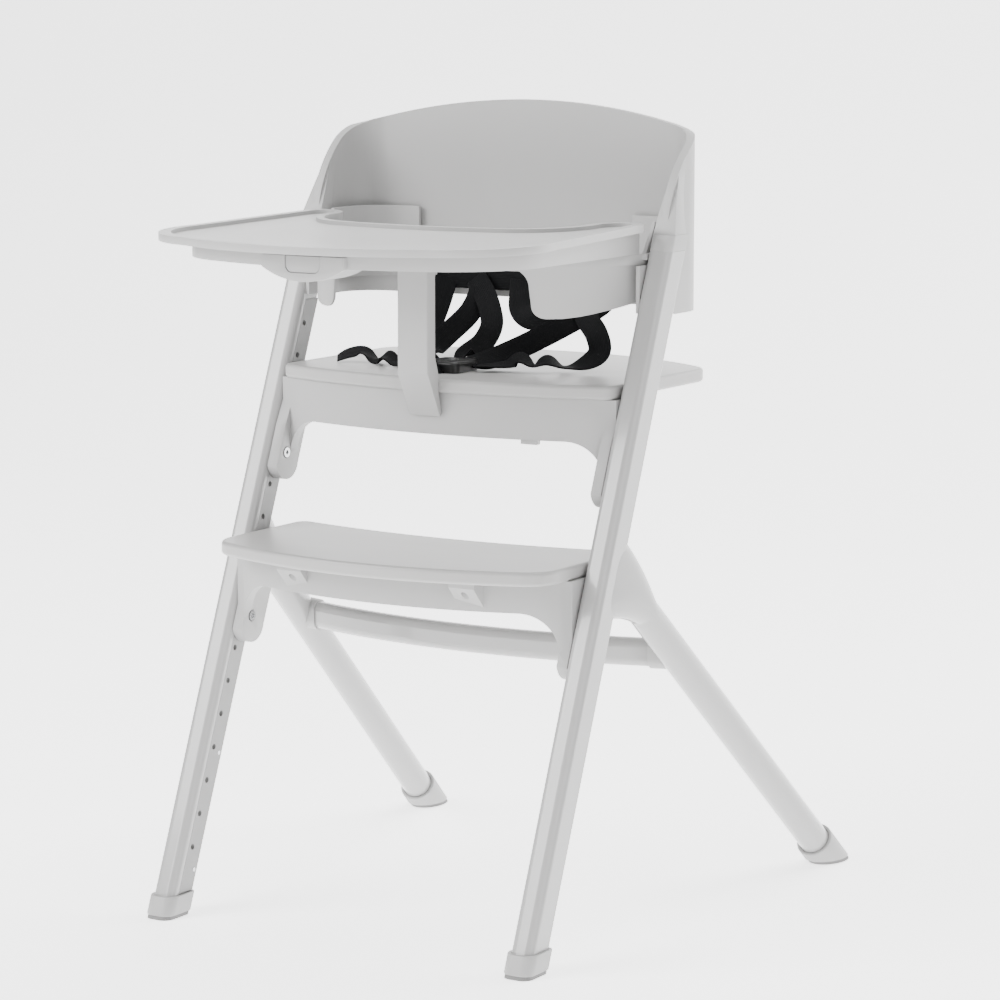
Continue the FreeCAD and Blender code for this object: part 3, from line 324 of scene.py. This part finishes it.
# a strap through listed stations: each a place in millimetres and a twist in degrees
def strap(name, stations, node, width=webbing["width"]):
    places = [Vector(station[:3]) / 1000 for station in stations]
    twists = [math.radians(station[3]) for station in stations]
    rows = []
    for spot in range(len(places) - 1):
        around = [max(0, spot - 1), spot, spot + 1, min(len(places) - 1, spot + 2)]
        for step in range(webbing["stepsPerSpan"] + (spot == len(places) - 2)):
            share = step / webbing["stepsPerSpan"]
            rows.append((smoothPoint(*(places[index] for index in around), share),
                         smoothPoint(*(twists[index] for index in around), share)))
    lies = []
    for index, (place, twist) in enumerate(rows):
        heading = (rows[min(index + 1, len(rows) - 1)][0] - rows[max(index - 1, 0)][0]).normalized()
        lies.append(Quaternion(heading, twist) @ heading.cross(outlook).normalized())
    cells = webbing["acrossCells"]
    freshSelection()
    bpy.ops.mesh.primitive_grid_add(x_subdivisions=len(rows) - 1, y_subdivisions=cells, size=1)
    piece = bpy.context.object
    piece.name = name
    run = [0.0]
    for (start, startTwist), (end, endTwist) in zip(rows, rows[1:]):
        run.append(run[-1] + (end - start).length)
    chart = piece.data.uv_layers[0]
    chart.name = webMap
    spots = {}
    for vertex in piece.data.vertices:
        row = round((vertex.co.x + 0.5) * (len(rows) - 1))
        side = vertex.co.y
        spots[vertex.index] = (run[row], side * width)
        vertex.co = rows[row][0] + lies[row] * side * width
    for loop in piece.data.loops:
        chart.data[loop.index].uv = spots[loop.vertex_index]
    applyModifier(piece, "SOLIDIFY", thickness=webbing["thickness"], offset=0)
    applyModifier(piece, "BEVEL", width=0.0005, segments=2, limit_method="ANGLE",
                  angle_limit=math.radians(50))
    bpy.ops.object.shade_smooth_by_angle(angle=math.radians(60))
    dress(piece, "webbing")
    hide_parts(node)
    return piece


bandLow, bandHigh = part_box("lumbar_band")
bandHalf, wallRadius = 118, 4200
bandFront, bandMiddle = bandHigh.y * 1000 - 1, (bandLow.z + bandHigh.z) * 500
band = strap("lumbarBand", [(x, bandFront - x * x / wallRadius, bandMiddle, 0)
                            for x in range(-bandHalf, bandHalf + 1, 59)], "lumbar_band")
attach(band, "frame")

# straps that hang from the band and end at the buckle on the seat
hangingStraps = {
    "shoulderStrapLeft": ("shoulder_belt_left", [
        (-62, 108, 667, 20), (-52, 92, 652, 10), (-50, 68, 632, 0), (-60, 42, 612, 0),
        (-66, 18, 596, 10), (-52, -6, 588, 40), (-30, -20, 589, 60)]),
    "shoulderStrapRight": ("shoulder_belt_right", [
        (-66, 107, 668, 15), (-48, 94, 656, 5), (-26, 72, 640, 0), (-12, 54, 622, 5),
        (-14, 38, 604, 10), (-22, 18, 593, 25), (-14, 0, 591, 60)]),
    "hipStrapLeft": ("hip_belt_left", [
        (-104, 107, 667, 0), (-100, 90, 645, 10), (-94, 60, 615, 20), (-80, 28, 594, 40),
        (-58, 0, 587, 60), (-38, -20, 588, 70)]),
    "hipStrapRight": ("hip_belt_right", [
        (112, 104, 664, 20), (108, 84, 648, 5), (90, 58, 633, 0), (62, 44, 616, 0),
        (34, 26, 600, 5), (14, 2, 590, 30), (2, -18, 588, 60)]),
    "bandTail": ("hip_belt_right", [
        (-6, 108, 668, 0), (2, 92, 655, 0), (14, 72, 640, 0), (34, 58, 632, 0),
        (60, 52, 634, 0), (88, 56, 640, 10)]),
}
for name, (nodeName, stations) in hangingStraps.items():
    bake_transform(strap(name, stations, nodeName))

# the right hip strap's long free end loops out over the seat
loop = strap("hipStrapLoop", [
    (92, 78, 648, 0), (106, 58, 636, 0), (124, 48, 620, 0), (131, 42, 602, 20), (120, 30, 590, 50),
    (104, 16, 586, 80), (88, 6, 594, 60), (74, -2, 588, 80), (58, -2, 594, 50), (42, -8, 588, 70),
    (16, -22, 586, 80)], "belt_tail_right")
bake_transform(loop)

tail = strap("strapTailLeft", [
    (-36, -32, 587, 75), (-62, -26, 584, 82), (-84, -24, 583, 70), (-102, -18, 589, 55),
    (-120, -14, 585, 75), (-138, -10, 592, 60), (-154, -14, 590, 60), (-166, -20, 584, 70)], "belt_tail_left")
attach(tail, "seat")
crotch = strap("crotchStrap", [
    (-12, -50, 588, 0), (-12, -62, 584, 0), (-12, -78, 582.2, 0)], "crotch_belt")
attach(crotch, "seat")
print("harness ready")

# a pale studio sweep
studio = {"half": 5.0, "front": -5.0, "rear": 4.5, "tall": 7.0, "bend": 3.0, "glow": 2.2}
freshSelection()
bpy.ops.mesh.primitive_plane_add(size=2, location=(0, 0, 0))
sweep = bpy.context.object
sweep.name = "studioSweep"
for corner in sweep.data.vertices:
    corner.co = (corner.co.x * studio["half"], studio["rear"] if corner.co.y > 0 else studio["front"], 0)
bpy.ops.object.mode_set(mode="EDIT")
bpy.ops.mesh.select_all(action="DESELECT")
bpy.ops.object.mode_set(mode="OBJECT")
for edge in sweep.data.edges:
    edge.select = all(sweep.data.vertices[index].co.y > 0 for index in edge.vertices)
bpy.ops.object.mode_set(mode="EDIT")
bpy.ops.mesh.select_mode(type="EDGE")
bpy.ops.mesh.extrude_region_move(TRANSFORM_OT_translate={"value": (0, 0, studio["tall"])})
bpy.ops.object.mode_set(mode="OBJECT")
applyModifier(sweep, "BEVEL", width=studio["bend"], segments=24, limit_method="ANGLE")
bpy.ops.object.shade_smooth()
sweepFinish = Finish("sweepPaper")
paper = sweepFinish.tints(sweepFinish.noise(sweepFinish.objectPlace(), 2.0), (0.9, 0.9, 0.9), (0.93, 0.93, 0.93))
sweep.data.materials.append(sweepFinish.close(
    colour=paper, roughness=0.9, glow=(1, 1, 1, 1), glowStrength=studio["glow"]))

lamps = {
    "keyLamp": {"place": (-2.2, -2.6, 2.6), "size": 2.4, "power": 230},
    "fillLamp": {"place": (3.0, -2.0, 1.8), "size": 2.6, "power": 45},
    "topLamp": {"place": (0.2, 0.6, 3.4), "size": 2.6, "power": 110},
    "rearLamp": {"place": (1.8, 2.8, 1.8), "size": 1.8, "power": 60},
}
chairMiddle = Vector((0, 0, 0.45))
for name, lamp in lamps.items():
    freshSelection()
    bpy.ops.object.light_add(type="AREA", location=lamp["place"])
    light = bpy.context.object
    light.name = name
    light.data.size = lamp["size"]
    light.data.energy = lamp["power"]
    light.rotation_euler = (chairMiddle - Vector(lamp["place"])).to_track_quat("-Z", "Y").to_euler()
world = bpy.data.worlds.new("studioAir")
bpy.context.scene.world = world
world.use_nodes = True
world.node_tree.nodes["Background"].inputs["Color"].default_value = (1, 1, 1, 1)
world.node_tree.nodes["Background"].inputs["Strength"].default_value = 0.35

camera = {"place": (2.1069, -3.3868, 1.0322), "aim": (0, 0.046, 0.4), "lens": 133.3}
freshSelection()
bpy.ops.object.camera_add(location=camera["place"])
viewer = bpy.context.object
viewer.data.lens = camera["lens"]
viewer.data.sensor_width = 36
viewer.data.shift_x = 0.0028
viewer.data.shift_y = 0.0274
viewer.rotation_euler = (Vector(camera["aim"]) - Vector(camera["place"])).to_track_quat("-Z", "Y").to_euler()
bpy.context.scene.camera = viewer
print("studio ready")
